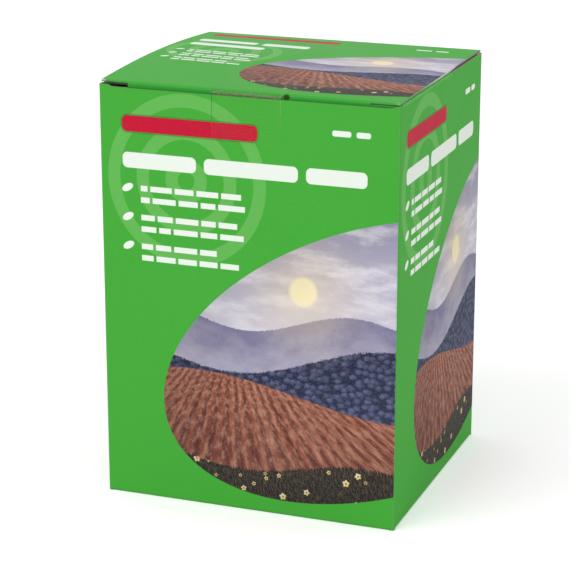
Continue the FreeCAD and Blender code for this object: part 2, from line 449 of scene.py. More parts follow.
def litSide(way):
    # 0 to 1 across a round thing that is lit from its upper left.
    left, above = picture["light"]["from"]
    return (way[1] * above - way[0] * left).share(*picture["light"]["reach"])


def treeCrowns(paint, x, y, tone):
    # A wood seen from afar: dark gaps between ragged crowns.
    trees = picture["trees"]
    leaves = (paint.noise(paint.spot(x, y), *trees["leaves"]) - 0.5) * trees["ragged"]
    crown, way, chance = paint.cells(x + leaves, y * trees["flat"] - leaves, trees["pitch"])
    tone = paint.over(tone, crown.above(*trees["gap"]) * trees["gapShare"], trees["shade"])
    lit = litSide(way) * crown.below(*trees["crown"]) * (chance * trees["more"] + trees["least"])
    return paint.over(tone, lit, trees["ink"])


def furrowRows(paint, x, y, tone):
    # Furrows fan out from one far point: each row has its own tone, and the clods grow towards the front.
    furrows = picture["furrows"]
    soil, crumb = furrows["ink"], furrows["crumb"]
    nearness = (y * -1) + furrows["meet"][1]
    bearing = (x - furrows["meet"][0]) / nearness / furrows["spread"]
    groove = bearing.cycle(1.0).size().below(*furrows["groove"])
    along = (nearness / furrows["clodsAlong"]).math("POWER", -1.0)
    clods = paint.noise(paint.spot(bearing * furrows["clodsAcross"], along), *furrows["clods"])
    tone = paint.over(tone, paint.scatter(bearing.math("FLOOR")) * furrows["rowShare"], crumb)
    tone = paint.over(tone, groove * furrows["grooveShare"], soil)
    tone = paint.over(tone, clods.above(*furrows["dry"]) * furrows["dryShare"], crumb)
    return paint.over(tone, clods.below(*furrows["damp"]) * furrows["dampShare"], soil)


def flowerBank(paint, x, y, tone, blades):
    # Dark grass with pale blades and scattered flowers of several sizes, each with its petals and heart.
    grass, flowers = picture["grass"], picture["flowers"]
    tone = paint.over(tone, blades.above(*grass["pale"]) * grass["paleShare"], grass["ink"])
    petal, way, chance = paint.cells(x, y, flowers["pitch"])
    lobes = (way[1].math("ARCTAN2", way[0]) * flowers["petals"] + chance * flowers["turn"]).sine()
    bloom = petal - lobes * flowers["lobe"]
    shown = bloom.below(chance * flowers["more"] + flowers["least"], flowers["soft"])
    shown = shown * chance.below(flowers["share"], 0.01)
    colour = paint.over(flowers["ink"], litSide(way), flowers["light"])
    colour = paint.over(colour, petal.below(*flowers["middle"]), flowers["heart"])
    return paint.over(tone, shown, colour)


def landscape(paint, x, y, inward, grain):
    # Sky, sun and hills from back to front, each a band under its own wave.
    sky, cloud, sun, glow = (picture[name] for name in ("sky", "cloud", "sun", "glow"))
    grass, haze, shade, paper = (picture[name] for name in ("grass", "haze", "shade", "paper"))
    puffs = paint.noise(paint.spot(x * cloud["stretch"], y), *cloud["noise"])
    colour = paint.over(sky["low"], y.share(*sky["levels"]), sky["high"])
    colour = paint.over(colour, puffs.above(*cloud["edge"]) * cloud["share"], cloud["ink"])
    disc = ovalDistance(x, y, sun["centre"], (sun["radius"],) * 2, 0)
    colour = paint.over(colour, disc.below(0, sun["soft"]), sun["ink"])
    across, up = grass["spread"]
    blades = paint.noise(paint.spot((x + y * grass["lean"]) * across, y * up), *grass["blades"])
    for name in ("farHill", "midHill", "field", "bank"):
        hill = picture[name]
        ragged = blades * grass["height"] if name == "bank" else grain * hill["ragged"]
        depth = y - hillLine(x, hill) + ragged
        light = paint.noise(paint.spot(x, depth * haze["flat"]), *haze["noise"])
        fading = depth.share(0, -haze["fall"]) + (light - 0.5) * haze["share"]
        tone = paint.over(hill["ink"], fading, hill["haze"])
        if name == "midHill":
            tone = treeCrowns(paint, x, y, tone)
        if name == "field":
            tone = furrowRows(paint, x, y, tone)
        if name == "bank":
            tone = flowerBank(paint, x, y, tone, blades)
        colour = paint.over(colour, depth.below(0, haze["soft"]), tone)
        if name != "bank":
            colour = paint.over(colour, disc.below(0, glow["reach"]) * glow["share"], glow["ink"])
    colour = paint.over(colour, inward.share(-shade["width"], 0) * shade["share"], shade["ink"])
    return paint.over(colour, (grain - paper["from"]) * paper["share"], paper["ink"])


def barRows(x, y, rows):
    # Distance from the nearest bar of several rows.
    places = [
        barDistance(x, y, (centre, row["level"]), (length, row["height"]), row["corner"])
        for row in rows
        for centre, length in row["bars"]
    ]
    return functools.reduce(Term.least, places)


def shortBars(paint, x, y):
    # Pairs of rows of short bars. Each row is cut once in every pitch, at a random place, and ends at
    # such a cut.
    bullets, lines = layout["bullets"], layout["lines"]
    height = y - bullets["foot"]
    inside = height.math("FLOORED_MODULO", bullets["pitch"])
    middle = sum(lines["levels"]) / 2
    row = (height / bullets["pitch"]).math("FLOOR") * 2 + inside.math("GREATER_THAN", middle)
    nearest = (inside - lines["levels"][0]).size().least((inside - lines["levels"][1]).size())
    along = (x - lines["from"]) / lines["pitch"]
    count = along.math("FLOOR")
    least, most = lines["cuts"]
    pitchSeed, rowSeed, endSeed = lines["seeds"]
    cut = paint.scatter(count * pitchSeed + row * rowSeed) * (most - least)
    toCut = (along - count) * lines["pitch"] - cut - least
    whole = paint.scatter(row + endSeed) * lines["lengths"] + lines["fewest"]
    left = whole.math("FLOOR") - count  # whole pitches to the row's end
    mask = (toCut - lines["gap"] / 2).size().above(lines["gap"] / 2) * left.above(0.5)
    mask = mask + toCut.below() * left.size().below(0.5)
    mask = mask * nearest.below(lines["height"] / 2) * x.above(lines["from"])
    return mask * height.above() * height.below(bullets["pitch"] * bullets["count"])


def bulletMarks(x, y):
    # One small tilted oval beside each pair of rows.
    bullets, lines = layout["bullets"], layout["lines"]
    height = y - bullets["foot"]
    inside = height.math("FLOORED_MODULO", bullets["pitch"])
    centre = (bullets["left"], lines["levels"][1])
    mark = ovalDistance(x, inside, centre, bullets["halves"], bullets["tilt"])
    return mark.below() * height.above() * height.below(bullets["pitch"] * bullets["count"])


# Wear on the lid: bare board at its front corners, and a crushed place in its front crease
# beside the tape, darkened with painted shade (sizes in millimetres)
wearAndShade = {
    "bare": "ddd3c6",
    "bareShares": (0.65, 0.2),  # left and right
    "corner": 1.5,
    "cornerSoft": 0.7,
    "cornerRagged": 3.0,  # corner sizes
    "cornerFrom": 0.3,  # above the start of the crease
    # painted shade over the dent, as a dark oval
    "dirt": "1f3a14",
    "dirtShare": 0.9,
    "dirtSoft": 0.35,
    "dentFrom": 0.6,  # from the tape's right edge
    "dentWidth": 2.8,
    "dentHalf": 1.1,  # half its height
    "dentDepth": 0.5,
    "dentSpans": 6,
}


def lidWearAndShade(paint, where, rub, colour):
    # Ragged bare corners, and one dark oval of painted shade over the dent in the front crease, both by
    # distance from their places on the lid.
    x, y, z = paint.parts(where)
    corner = ovalDistance(x.size(), y, (lidHigh.x / mm, lidLow.y / mm), (wearAndShade["corner"],) * 2, 0)
    bare = (corner + (rub - 0.5) * wearAndShade["corner"] * wearAndShade["cornerRagged"]).below(0, wearAndShade["cornerSoft"])
    bare = bare * z.above(lidFold / mm + wearAndShade["cornerFrom"])
    left, right = wearAndShade["bareShares"]
    colour = paint.over(colour, bare * (x.below(0, 1) * (left - right) + right), wearAndShade["bare"])
    middle = tapeHigh.x / mm + wearAndShade["dentFrom"] + wearAndShade["dentWidth"] / 2
    dirt = ovalDistance(x, z, (middle, lidFold / mm), (wearAndShade["dentWidth"] / 2, wearAndShade["dentHalf"]), 0)
    dirt = dirt.below(0, wearAndShade["dirtSoft"]) * y.below() * wearAndShade["dirtShare"]
    return paint.over(colour, dirt, wearAndShade["dirt"])


varnish = {
    "grain": (1.7, 2.0),  # noises by scale, detail and roughness,
    "grainShare": 0.06,
    "patches": (0.02, 3.0),
    "patchFrom": 0.35,
    "patchShare": 0.3,
    "creaseShare": 0.9,
    "redRim": (0.5, 0.35),  # and edges by place and softness
    "redRimShare": 0.7,
    "rub": (0.9, 4.0, 0.7),
    "rubInk": "cfe3c6",
    "rubShare": 0.75,
    "uprights": {"edge": (0.25, 0.3), "from": (0.45, 0.2), "share": 0.18},
    "topCreases": {"from": (0.5, 0.15), "share": 0.3},
    "smudge": (0.035, 4.0, 0.6),
    "rough": (0.38, 0.16, 0.2),  # everywhere, in smudges and where it is rubbed
    "shine": 0.05,
    "fibre": (0.55, 5.0, 0.65),
    "flattened": 0.6,  # of the fibres where it is rubbed
    "bump": (0.05 * mm, 0.4),
}


def printedBoard():
    # Offset print under a thin matt varnish, rubbed pale on the sharpest creases, with painted shade in the
    # lid's front crease and over the dent beside the tape.
    paint = Paint("printed_board")
    across, up = layout["panel"]
    where = paint.place(mm)
    grain = paint.noise(where, *varnish["grain"])

    # green ground, with painted shade in the lid's front crease, and pale rings behind the bars
    x, y = paint.printPlace("bars", across, up)
    patches = (paint.noise(where, *varnish["patches"]) - varnish["patchFrom"]) * varnish["patchShare"]
    colour = paint.over(layout["green"], patches, layout["paleGreen"])
    low, high = layout["creaseLevels"]
    creaseShade = y.below(high, 1) * y.above(low, 1) * varnish["creaseShare"]
    colour = paint.over(colour, creaseShade, layout["creaseGreen"])
    rings = layout["rings"]
    onPanel = x.math("FLOORED_MODULO", layout["lidFrom"])  # rings and rows are alike on walls and lid
    dx, dy = onPanel - rings["centre"][0], y - rings["centre"][1]
    radius = (dx * dx + dy * dy).math("SQRT")
    ring = radius.cycle(rings["spacing"]).size().below(rings["band"] / 2) * radius.below(rings["reach"])
    colour = paint.over(colour, ring, rings["ink"])

    px, py = paint.printPlace("print", across, up)
    window = ovalDistance(px, py, **picture["oval"])
    colour = paint.over(colour, window.below(), landscape(paint, px, py, window, grain))

    white = shortBars(paint, onPanel, y).most(bulletMarks(onPanel, y))
    white = white.most(barRows(x, y, layout["whiteRows"]).below())
    colour = paint.over(colour, white, layout["white"])
    red = barRows(x, y, layout["redRows"])
    colour = paint.over(colour, red.below(*varnish["redRim"]) * varnish["redRimShare"], layout["redShade"])
    colour = paint.over(colour, red.below(), layout["red"])

    rub = paint.noise(where, *varnish["rub"])
    uprights, creases = varnish["uprights"], varnish["topCreases"]
    worn = x.size().least((x - across).size()).below(*uprights["edge"])
    worn = worn * rub.above(*uprights["from"]) * uprights["share"]
    onCrease = y.above(up * (1 + layout["rubbedAt"]) / 2, 1)
    worn = worn.most(onCrease * rub.above(*creases["from"]) * creases["share"])
    colour = paint.over(colour, worn * varnish["rubShare"], varnish["rubInk"])
    colour = lidWearAndShade(paint, where, rub, colour)
    colour = paint.over(colour, (grain - 0.5) * varnish["grainShare"], "ffffff")
    even, smudged, rubbed = varnish["rough"]
    rough = paint.noise(where, *varnish["smudge"]) * smudged + worn * rubbed + even
    paint.surface({"Base Color": colour, "Roughness": rough, "Specular IOR Level": varnish["shine"]})
    fibre = paint.noise(where, *varnish["fibre"])
    paint.bump(fibre + worn * -varnish["flattened"], *varnish["bump"])
    return paint.material


pulpBoard = {
    "tones": ("b9b3a6", "d2cdc2"),
    "pulp": (0.12, 6.0, 0.65),
    "speck": "7d776c",
    "specks": (2.4, 2.0),
    "speckFrom": (0.66, 0.03),
    "speckShare": 0.5,
    "rough": (0.75, 0.15),  # everywhere, and in pale pulp
    "fibre": (1.1, 5.0, 0.7),
    "bump": (0.05 * mm, 0.6),
}


def bareBoard():
    # The unprinted inside: grey-white pulp with fine fibres and specks.
    paint = Paint("bare_board")
    where = paint.place(mm)
    dark, pale = pulpBoard["tones"]
    pulp = paint.noise(where, *pulpBoard["pulp"])
    specks = paint.noise(where, *pulpBoard["specks"]).above(*pulpBoard["speckFrom"])
    colour = paint.over(dark, pulp, pale)
    colour = paint.over(colour, specks * pulpBoard["speckShare"], pulpBoard["speck"])
    even, inPulp = pulpBoard["rough"]
    paint.surface({"Base Color": colour, "Roughness": pulp * inPulp + even})
    paint.bump(paint.noise(where, *pulpBoard["fibre"]), *pulpBoard["bump"])
    return paint.material


rawEdge = {
    "plain": {"name": "cut_edge", "dark": "857d6c", "pale": "c4bcab", "soiled": 0.0},
    "lid": {"name": "rubbed_edge", "dark": "aeb09c", "pale": "e2e3d6", "soiled": 0.7},
    "fray": (1.6, 5.0, 0.7),
    "stain": "3f8f3a",
    "stainTo": (-18.0, 16.0),  # millimetres along the depth
    # painted shade towards the rear, used on the lid's side edges
    "soil": "35352a",
    "soilFrom": (17.0, 6.0),
    "rough": 0.9,
    "bump": (0.12 * mm, 0.8),
}


def cutEdge(name, dark, pale, soiled):
    # The raw edge of the board: pale layers with loose fibres, stained with ink towards the front
    # and darkened with painted shade towards the rear.
    paint = Paint(name)
    where = paint.place(mm)
    along = paint.parts(where)[1]
    fray = paint.noise(where, *rawEdge["fray"])
    colour = paint.over(dark, fray, pale)
    colour = paint.over(colour, along.below(*rawEdge["stainTo"]) * (fray * 0.5 + 0.5), rawEdge["stain"])
    colour = paint.over(colour, along.above(*rawEdge["soilFrom"]) * soiled, rawEdge["soil"])
    paint.surface({"Base Color": colour, "Roughness": rawEdge["rough"]})
    paint.bump(fray, *rawEdge["bump"])
    return paint.material


tape = {
    "film": 0.1 * mm,
    "lift": 0.04 * mm,  # gap to the board under it
    "tone": "8a9a55",  # what the film adds where it shows
    # painted shade where the film bridges the lid's front crease
    "foldTone": "525428",
    "edgeTones": ("2c6a2a", "a5d596"),  # painted shade on the left edge, painted highlight on the right
    "clear": 0.015,  # how much it shows in the middle,
    "edge": 0.25,  # along its cut edges,
    "fold": 0.45,  # and where it bridges the lid's front edge, as painted shade
    "edgeWidth": (0.28, 0.12),  # millimetres, and softness
    "edgeReach": (-0.5, 1.5),  # where its cut edges fade, on the lid and on the wall
    "edgeFade": 0.4,
    "foldFrom": (0.6, 0.2),  # shares of the bridge
    "foldTo": (0.95, 0.1),
    "crumple": (0.5, 3.0),
    "crumpleFrom": (0.45, 0.2),
    "crumpleShare": 0.7,
    "rough": 0.12,
    "shine": 0.8,
    "ripple": (0.08, 3.0),
    "bump": (0.3 * mm, 0.4),
    "spans": (12, 10, 10),  # on the lid, over the bridge and on the wall
    "columns": 13,
}


def clearFilm():
    # Clear film: it shows a little of its own tone, and shines. Its cut edges show more, with painted shade
    # on the left and a painted highlight on the right, and where it bridges the lid's front crease it
    # carries painted shade.
    paint = Paint("clear_tape")
    width = (tapeHigh.x - tapeLow.x) / mm
    x, y = paint.printPlace("print", width, 1.0)
    where = paint.place(mm)
    top, foot = tape["edgeReach"]
    edge = x.least((x * -1) + width).below(*tape["edgeWidth"])
    edge = edge * y.above(top, tape["edgeFade"]) * y.below(foot, tape["edgeFade"])
    crumple = paint.noise(where, *tape["crumple"]).above(*tape["crumpleFrom"])
    crumple = crumple * tape["crumpleShare"] + (1 - tape["crumpleShare"])
    # painted shade where the film bridges the lid's front crease, broken up by its crumples
    fold = y.above(*tape["foldFrom"]) * y.below(*tape["foldTo"]) * crumple
    shown = (edge * tape["edge"]).most(fold * tape["fold"]).most(tape["clear"])
    # its cut edges: painted shade on the left, painted highlight on the right
    left, right = tape["edgeTones"]
    colour = paint.over(tape["tone"], edge, paint.over(left, x.share(0, width), right))
    colour = paint.over(colour, fold, tape["foldTone"])
    paint.surface({"Base Color": colour, "Alpha": shown})
    paint.surface({"Roughness": tape["rough"], "Specular IOR Level": tape["shine"]})
    paint.bump(paint.noise(where, *tape["ripple"]), *tape["bump"])
    return paint.material


boardFinishes = [printedBoard(), bareBoard(), cutEdge(**rawEdge["plain"])]
lidFinishes = boardFinishes[:2] + [cutEdge(**rawEdge["lid"])]
filmFinish = clearFilm()
print("materials made")


# Carton body

carton = {
    "glueFlap": 16.0 * mm,
    "glueFlapEndCut": 4.0 * mm,
    "glueFlapSpan": 4.0 * mm,  # between its lines of points
    "glueLine": 0.03 * mm,
    "seamGap": 0.4 * mm,
    "sideFlap": 42.0 * mm,  # bottom flaps
    "bottomSeam": 0.4 * mm,
    "flapRows": (1.0, 0.06, 8),  # rows of points on them: first and last share of their length, and number
    "flapCrease": 0.02,  # and one more beside the crease
    "flapFrom": 0.1,  # how far under the walls' print they are, as a share of the panel
    "settle": 0.7 * mm,  # how far the side walls' creases stand under their flaps
    "cornerFoot": 0.15 * mm,  # the walls' level at the bottom corners, between the flaps
    "sideRise": 1.0 * mm,  # how far the walls stand above the crease beside the dust flaps
    "shoulders": (6.5 * mm, 4.0 * mm),  # how far that goes round the front corners, left and right,
    "shoulderSlant": 2.5 * mm,  # the slant at its end,
    "shoulderLeast": 0.1,  # and the share of that rise where the slant starts
    "slantSpans": 3,
    "foldSpans": 8,
    "dustCut": 0.4 * mm,
    "bulge": 0.5 * mm,  # how far the panels belly out
}


def panelBelly(across, up):
    # How far a wall panel bellies out, from its shares across and up: a product of two half waves.
    return carton["bulge"] * np.sin(np.pi * np.clip(across, 0, 1)) * np.sin(np.pi * np.clip(up, 0, 1))


def cartonBody():
    # One folded blank. A plan line carries s round the box: glue flap, rear, right, front and left walls.
    # At each s a section carries t from the bottom flap round its fold, up the wall and into the top fold.
    # A point is the plan point, moved inwards by the section's reach and up by its level.
    inset = foldRadius + board
    near = mm / 10  # so close to a cut, a point is on it
    upright = ("fold", 90.0, evenly(carton["foldSpans"]), foldRadius)
    rearRun = 2 * halfWidth - board - carton["glueLine"] - 2 * foldRadius
    sideRun = 2 * halfDepth - 2 * foldRadius
    frontRun = 2 * halfWidth - 2 * foldRadius
    leftRun = sideRun - carton["seamGap"]
    cuts = np.array([flapLow.y - carton["dustCut"], flapLow.y, flapHigh.y, flapHigh.y + carton["dustCut"]])
    sideMarks = np.concatenate([cuts, [halfDepth - inset, inset - halfDepth]])
    rightMarks = halfDepth - foldRadius - sideMarks
    leftMarks = halfDepth - foldRadius + sideMarks
    leftShoulder, rightShoulder = carton["shoulders"]
    flapEnds = halfWidth - foldRadius - np.array([halfWidth - inset, inset - halfWidth])
    slants = np.linspace(0, carton["shoulderSlant"], carton["slantSpans"] + 1)
    rightEnd = rightShoulder - foldRadius - slants
    leftEnd = frontRun + foldRadius - leftShoulder + slants
    frontMarks = np.concatenate([flapEnds, rightEnd, leftEnd])
    rearMarks = rearRun - flapEnds
    plan, outward, s = foldedLine(
        (-halfWidth + board + carton["glueLine"], halfDepth - foldRadius - carton["glueFlap"]),
        90,
        -1,
        [
            ("run", carton["glueFlap"], panelShares(carton["glueFlap"], step=carton["glueFlapSpan"])),
            upright,
            ("run", rearRun, panelShares(rearRun, rearMarks)),
            upright,
            ("run", sideRun, panelShares(sideRun, rightMarks)),
            upright,
            ("run", frontRun, panelShares(frontRun, frontMarks)),
            upright,
            ("run", leftRun, panelShares(leftRun, leftMarks)),
        ],
    )
    bend = foldRadius * math.pi / 2
    turns = carton["glueFlap"] + bend / 2 + np.cumsum([0, rearRun + bend, sideRun + bend, frontRun + bend])
    bounds = np.concatenate([turns, [s[-1] + bend / 2]])
    panel = np.searchsorted(turns, s)  # 0 glue flap, 1 rear, 2 right, 3 front, 4 left
    onSide = (panel == 2) | (panel == 4)

    # which cells carry a bottom flap, and which columns stand between two flaps
    middle = (plan[1:] + plan[:-1]) / 2
    cellPanel = np.searchsorted(turns, (s[1:] + s[:-1]) / 2)
    cellSide = (cellPanel == 2) | (cellPanel == 4)
    offMiddle = np.where(cellSide, abs(middle[:, 1]) - halfDepth, abs(middle[:, 0]) - halfWidth)
    within = offMiddle < -inset
    flapCell = within & (cellPanel > 0)
    betweenFlaps = (panel > 0) & ~(np.append(flapCell, False) | np.insert(flapCell, 0, False))

    level = np.where(onSide, board, 0.0)
    flapLength = np.where(onSide, carton["sideFlap"], halfDepth - foldRadius - carton["bottomSeam"] / 2)
    glueShare = np.clip(1 - s / carton["glueFlap"], 0, 1) * carton["glueFlapEndCut"]
    low = np.where(onSide, board - carton["settle"], 0.0)
    foot = np.where(panel == 0, board + foldRadius, low + foldRadius) + glueShare
    foot[betweenFlaps] = carton["cornerFoot"]
    head = wallHead - glueShare
    raised = onSide & ((plan[:, 1] > cuts[3] - near) | (plan[:, 1] < cuts[0] + near))
    shoulder = np.maximum(plan[:, 0] + rightShoulder, leftShoulder - plan[:, 0]) - halfWidth
    raised |= (panel == 3) & (shoulder > -near)
    raised |= (panel == 1) & (abs(plan[:, 0]) > halfWidth - inset + near)
    slant = np.clip(shoulder / carton["shoulderSlant"], carton["shoulderLeast"], 1)
    slant = np.where(panel == 3, slant, 1.0)
    stub = np.where(raised, carton["sideRise"] * slant, np.where(panel == 1, lidFold - wallHead, 0.0))

    flapShares = np.concatenate([np.linspace(*carton["flapRows"]), [carton["flapCrease"], 0.0]])[:, None]
    bendTurns = np.radians(np.linspace(90, 0, carton["foldSpans"] + 1))[1:, None]
    wallShares = panelShares(wallHead)[:, None]
    topShares = evenly(carton["foldSpans"])[:, None]
    topDistance = topShares * (stub + np.where(raised, 0.0, hingeArc))
    topTurn = np.clip((topDistance - stub) / foldRadius, 0, hingeTurn)

    reach = np.concatenate([
        foldRadius + flapShares * flapLength,
        np.repeat(foldRadius * (1 - np.cos(bendTurns)), len(s), 1),
        np.zeros((len(wallShares), len(s))),
        foldRadius * (1 - np.cos(topTurn)),
    ])
    rise = np.concatenate([
        np.repeat(level[None], len(flapShares), 0),
        low + foldRadius * (1 - np.sin(bendTurns)),
        foot + wallShares * (head - foot),
        head + np.minimum(topDistance, stub) + foldRadius * np.sin(topTurn),
    ])
    start = np.concatenate([[0.0], turns])[panel]
    across = (s - start) / (bounds[panel] - start)
    wallFrom = len(flapShares) + len(bendTurns)
    wallRows = slice(wallFrom, wallFrom + len(wallShares))
    rise[len(flapShares) - 1] = low
    rise[wallFrom - 1] = foot
    belly = np.where(panel > 0, panelBelly(across, (rise[wallRows] - foot) / (head - foot)), 0.0)
    reach[wallRows] -= belly
    grid = np.concatenate([plan - outward * reach[..., None], rise[..., None]], -1)

    # which cells are board, from the middle of each cell
    dustCell = cellSide & (middle[:, 1] > flapLow.y) & (middle[:, 1] < flapHigh.y)
    raisedCell = raised[1:] & raised[:-1]
    topCell = dustCell | raisedCell | (within & (cellPanel == 1))
    rowCount = len(reach) - 1
    kept = np.ones((rowCount, len(cellPanel)), bool)
    kept[:wallFrom - 1] = flapCell
    kept[wallRows.stop - 1:] = topCell

    # print coordinates: across each panel from its left edge, and up from the floor; the side walls' top
    # creases are rubbed
    cellStart = np.concatenate([[0.0], turns])[cellPanel]
    cellLength = bounds[cellPanel] - cellStart
    u = np.stack([1 - (s[:-1] - cellStart) / cellLength, 1 - (s[1:] - cellStart) / cellLength], -1)
    u[cellPanel == 0] = layout["plainAt"]
    v = rise / creaseHeight
    v[:len(flapShares)] = -(carton["flapFrom"] + flapShares * flapLength / creaseHeight)
    v[wallRows.stop:] = np.where(onSide & ~raised, layout["rubbedAt"], v[wallRows.stop:])
    printMap = np.empty((rowCount, len(cellPanel), 4, 2))
    printMap[..., 0] = u[None][..., [0, 1, 1, 0]]
    printMap[..., 1] = cellCorners(v)
    maps = {"bars": printMap, "print": printMap}
    return boardPiece("carton_body", grid, kept, maps, boardFinishes, board, flipped=True)


cartonPiece = cartonBody()
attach(cartonPiece, "box")
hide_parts("carton")


# Lid

lidCut = {
    "tuck": 20.0 * mm,
    "tuckLean": 5.89,  # degrees
    "tuckInset": 1.6 * mm,
    "tuckCorner": 9.0 * mm,
    "tuckRows": (0.08, 0.5, 5),  # rows of points above its corners: first and last share, and number
    "slit": 12.0 * mm,
    "slitDrop": 1.4 * mm,
    "hingeSpans": 5,
    "foldSpans": 9,  # rows of the front crease,
    "slitRows": ((5, 10), (6, 9)),  # those that gape in the lock slits, left and right,
    "foldPrint": ((1, -0.0148), (5, -0.018), (8, -0.04), (12, -0.2)),  # and print levels from a row on, where the first three give the front crease painted shade and the last leaves the tuck flap plain
    "span": 6.0 * mm,  # between lines of points across,
    "wingSpans": 6,  # and outside the slits,
    "wingEdge": 0.96,  # with a last one here
    "barScale": 0.72,
    "pictureScale": (0.78, 0.72),
    "pictureFoot": 4.0 * mm,
    "leftLift": 0.9 * mm,  # the free edges of the crowned lid differ a little,
    "rightDrop": 1.2 * mm,
    "frontRise": 0.4 * mm,  # and its front crease is tucked in askew, higher at the left
    "frontSink": 0.25 * mm,  # and lower at the right
}
lidHalf = lidHigh.x
lidSpan = lidRear - lidFront
lidSlope = 2 * math.atan(2 * (lidHigh.z - creaseHeight) / lidSpan)
crownRadius = lidSpan / (2 * math.sin(lidSlope)) + foldRadius
slopeDegrees = math.degrees(lidSlope)


def crownLift(x, y):
    # The lid's sides spring differently: the left edge stands higher and the right one lower,
    # by the square of the share across, along a half wave from the rear crease to the front one.
    # A twist adds to it, even across, from nothing at the rear crease to its full size at the front one.
    back = np.clip((y - lidFront) / lidSpan, 0, 1)
    left = np.clip((1 - x / lidHalf) / 2, 0, 1)
    spring = lidCut["leftLift"] * left**2 - lidCut["rightDrop"] * (1 - left) ** 2
    twist = lidCut["frontRise"] * left - lidCut["frontSink"] * (1 - left)
    return np.sin(np.pi * back) * spring + (1 - back) * twist


def lidSheet():
    # Half of the rear crease, the crowned panel, the front crease and the leaning tuck flap in one line,
    # carried across the lid. Outside the lock slits the tuck flap narrows to its own rounded outline.
    crownShares = panelShares(lidSpan)
    slitShare, cornerShare = lidCut["slitDrop"] / lidCut["tuck"], lidCut["tuckCorner"] / lidCut["tuck"]
    roundShares = 1 - cornerShare * np.cos(np.radians(np.linspace(0, 90, 9)))
    tuckShares = np.concatenate([[slitShare], np.linspace(*lidCut["tuckRows"]), roundShares])
    tuckShares = np.unique(np.round(tuckShares, 6))
    line, outward, _ = foldedLine(
        (hingeAt["lid_hinge"][1], hingeAt["lid_hinge"][2]),
        90 + stock["hingeTurn"],
        1,
        [
            ("fold", stock["hingeTurn"] - slopeDegrees, evenly(lidCut["hingeSpans"]), foldRadius),
            ("fold", 2 * slopeDegrees, crownShares, crownRadius),
            ("fold", 90 - slopeDegrees + lidCut["tuckLean"], evenly(lidCut["foldSpans"]), foldRadius),
            ("run", lidCut["tuck"], tuckShares),
        ],
    )
    rows = len(line)
    tuckFrom = rows - len(tuckShares) - 1  # the row where the tuck flap begins
    foldFrom = tuckFrom - lidCut["foldSpans"]
    slitAt = lidHalf - lidCut["slit"]
    dentShares = np.linspace(0, 1, wearAndShade["dentSpans"] + 1)
    dentMarks = tapeHigh.x + (wearAndShade["dentFrom"] + wearAndShade["dentWidth"] * dentShares) * mm
    innerShares = panelShares(2 * slitAt, dentMarks + slitAt, lidCut["span"])
    inner = np.concatenate([[-1.0], 2 * innerShares - 1]) * slitAt
    outer = np.concatenate([evenly(lidCut["wingSpans"])[:-1], [lidCut["wingEdge"], 1.0]])

    half = np.full(rows, lidHalf)
    toTip = lidCut["tuck"] * (1 - np.concatenate([[0.0], tuckShares]))
    half[tuckFrom:] = lidHalf - lidCut["tuckInset"] - roundedBack(lidCut["tuckCorner"], toTip)
    wing = slitAt + (half - slitAt)[:, None] * outer
    x = np.concatenate([-wing[:, ::-1], np.repeat(inner[None], rows, 0), wing], 1)

    grid = pointGrid(x, line[:, :1], line[:, 1:] + crownLift(x, line[:, :1]))
    # the dent in the front crease: a half wave across, times a parabola over its height
    dent = np.sin(np.pi * np.clip((x - dentMarks[0]) / (dentMarks[-1] - dentMarks[0]), 0, 1))
    dent = dent * np.clip(1 - ((line[:, 1:] - lidFold) / (wearAndShade["dentHalf"] * mm)) ** 2, 0, 1)
    dent[:foldFrom] = 0
    grid[..., 1:] -= outward[:, None] * dent[..., None] * wearAndShade["dentDepth"] * mm
    kept = np.ones((rows - 1, x.shape[1] - 1), bool)
    for (top, foot), wingCells in zip(lidCut["slitRows"], (slice(len(outer)), slice(-len(outer), None))):
        kept[foldFrom + top:foldFrom + foot, wingCells] = False

    # bars and oval are smaller than on a wall: bars in the rear left corner, oval front right
    across, up = layout["panel"]
    barUnit = lidCut["barScale"] * mm
    u = (layout["lidFrom"] + (x + halfWidth) / barUnit) / across
    v = np.repeat((layout["lidTop"] - (halfDepth - line[:, :1]) / barUnit) / up, x.shape[1], 1)
    # print levels on the front crease's rows, where the print lays its painted shade
    for row, level in lidCut["foldPrint"]:
        v[foldFrom + row:] = level
    pictureAcross, pictureUp = np.array(layout["panel"]) * mm * lidCut["pictureScale"]
    pictureU = 1 - (halfWidth - x) / pictureAcross
    pictureV = np.where(v < 0, v, (line[:, :1] + halfDepth - lidCut["pictureFoot"]) / pictureUp)
    maps = {
        "bars": np.stack([cellCorners(u), cellCorners(v)], -1),
        "print": np.stack([cellCorners(pictureU), cellCorners(pictureV)], -1),
    }
    return boardPiece("lid_sheet", grid, kept, maps, lidFinishes, board, flipped=True)


lidPiece = lidSheet()
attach(lidPiece, "lid")
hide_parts("lid")


# Dust flaps

dustFlap = {
    "length": 46.0 * mm,
    "frontStep": 5.0 * mm,
    "rearTaper": 15.0,  # degrees
    "corner": 5.0 * mm,
    "hingeSpans": 5,
    "span": 5.0 * mm,  # between rows of points,
    "tip": (0.1, 6),  # with so many closer rows in the last share
    "besideEdge": (0.01, 0.05),  # the first lines of points across, as shares, from each edge
    "columns": 10,
}


